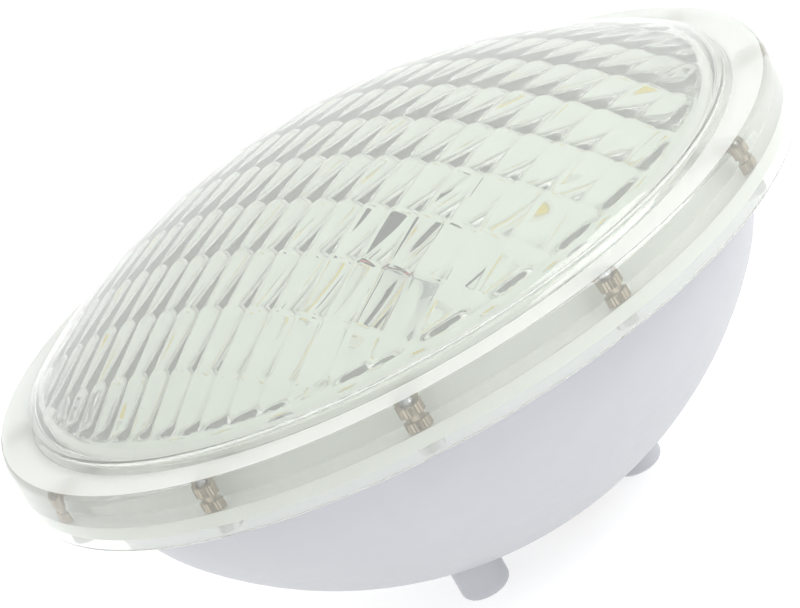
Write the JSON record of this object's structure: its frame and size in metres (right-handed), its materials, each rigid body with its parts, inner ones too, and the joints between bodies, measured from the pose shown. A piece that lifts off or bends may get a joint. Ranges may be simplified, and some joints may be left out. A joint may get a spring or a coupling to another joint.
{
  "type": "underwater pool light",
  "caption": "Round sealed LED pool light with a clear domed front cover, screwed clear rim, white rear bowl and two rear screw terminals.",
  "frame": {"origin": "centre of the rim seat, the ring-shaped underside of the clear lip", "axes": "+Z out of the front along the beam, X and Y across the rim"},
  "size_m": [0.178, 0.178, 0.0966],
  "materials": {
    "clear_cover": "clear moulded polycarbonate with a frosted front land",
    "white_shell": "white moulded polycarbonate",
    "seal": "grey silicone",
    "nickel_brass": "dull nickel on brass",
    "steel": "stainless steel",
    "board_white": "white solder mask on aluminium",
    "pad": "soft grey heat pad",
    "aluminium_plate": "plain rolled",
    "led_body": "moulded white LED body",
    "phosphor": "yellow phosphor in silicone",
    "black_part": "black moulding compound",
    "black_rubber": "black rubber",
    "lead_red": "red silicone insulation",
    "lead_brown": "brown silicone insulation",
    "lead_black": "black silicone insulation",
    "lead_grey": "grey silicone insulation",
    "solder": "bright solder",
    "board_green": "green solder mask on glass-epoxy board",
    "capacitor_sleeve": "shrink sleeve on an aluminium can",
    "ferrite": "ferrite",
    "copper_wire": "enamelled copper wire",
    "chip_ceramic": "ceramic chip",
    "fuse_body": "round moulded fuse",
    "brass": "plain turned brass"
  },
  "bodies": {
    "lamp": {"lens_cover": "clear_cover", "rear_housing": "white_shell", "cover_seal": "seal", "threaded_inserts": "nickel_brass", "cover_screws": "steel", "cover_screw_washers": "steel", "led_board": "board_white", "thermal_pad": "pad", "heat_spreader": "aluminium_plate", "led_packages": "led_body", "led_phosphor": "phosphor", "board_resistors": "black_part", "board_screws": "steel", "lead_grommet": "black_rubber", "led_lead_red": "lead_red", "led_lead_brown": "lead_brown", "lead_solder_joints": "solder", "driver_board": "board_green", "driver_screws": "steel", "bridge_rectifier": "black_part", "smoothing_capacitors": "capacitor_sleeve", "inductor_core": "ferrite", "inductor_winding": "copper_wire", "driver_chip": "black_part", "chip_capacitors": "chip_ceramic", "fuse": "fuse_body", "supply_lead_left": "lead_black", "supply_lead_right": "lead_grey", "terminal_bushes": "brass"},
    "left_washer": {"terminal_washer_left": "brass"},
    "left_screw": {"terminal_screw_left": "brass"},
    "right_washer": {"terminal_washer_right": "brass"},
    "right_screw": {"terminal_screw_right": "brass"}
  },
  "joints": [
    {"name": "left_terminal_travel", "type": "slide", "parent": "lamp", "child": "left_washer", "axis": [0, 0, -1], "range_m": [0, 0.0025]},
    {"name": "left_terminal_turn", "type": "hinge", "parent": "left_washer", "child": "left_screw", "pos_m": [-0.00799, 0.00602, -0.0525], "axis": [0, 0, -1], "range_deg": [0, 1285.9]},
    {"name": "right_terminal_travel", "type": "slide", "parent": "lamp", "child": "right_washer", "axis": [0, 0, -1], "range_m": [0, 0.0025]},
    {"name": "right_terminal_turn", "type": "hinge", "parent": "right_washer", "child": "right_screw", "pos_m": [0.00799, -0.00602, -0.0525], "axis": [0, 0, -1], "range_deg": [0, 1285.9]}
  ],
  "couplings": [
    {"joint": "left_terminal_turn", "follows": "left_terminal_travel", "rad_per_m": 8976},
    {"joint": "right_terminal_turn", "follows": "right_terminal_travel", "rad_per_m": 8976}
  ]
}
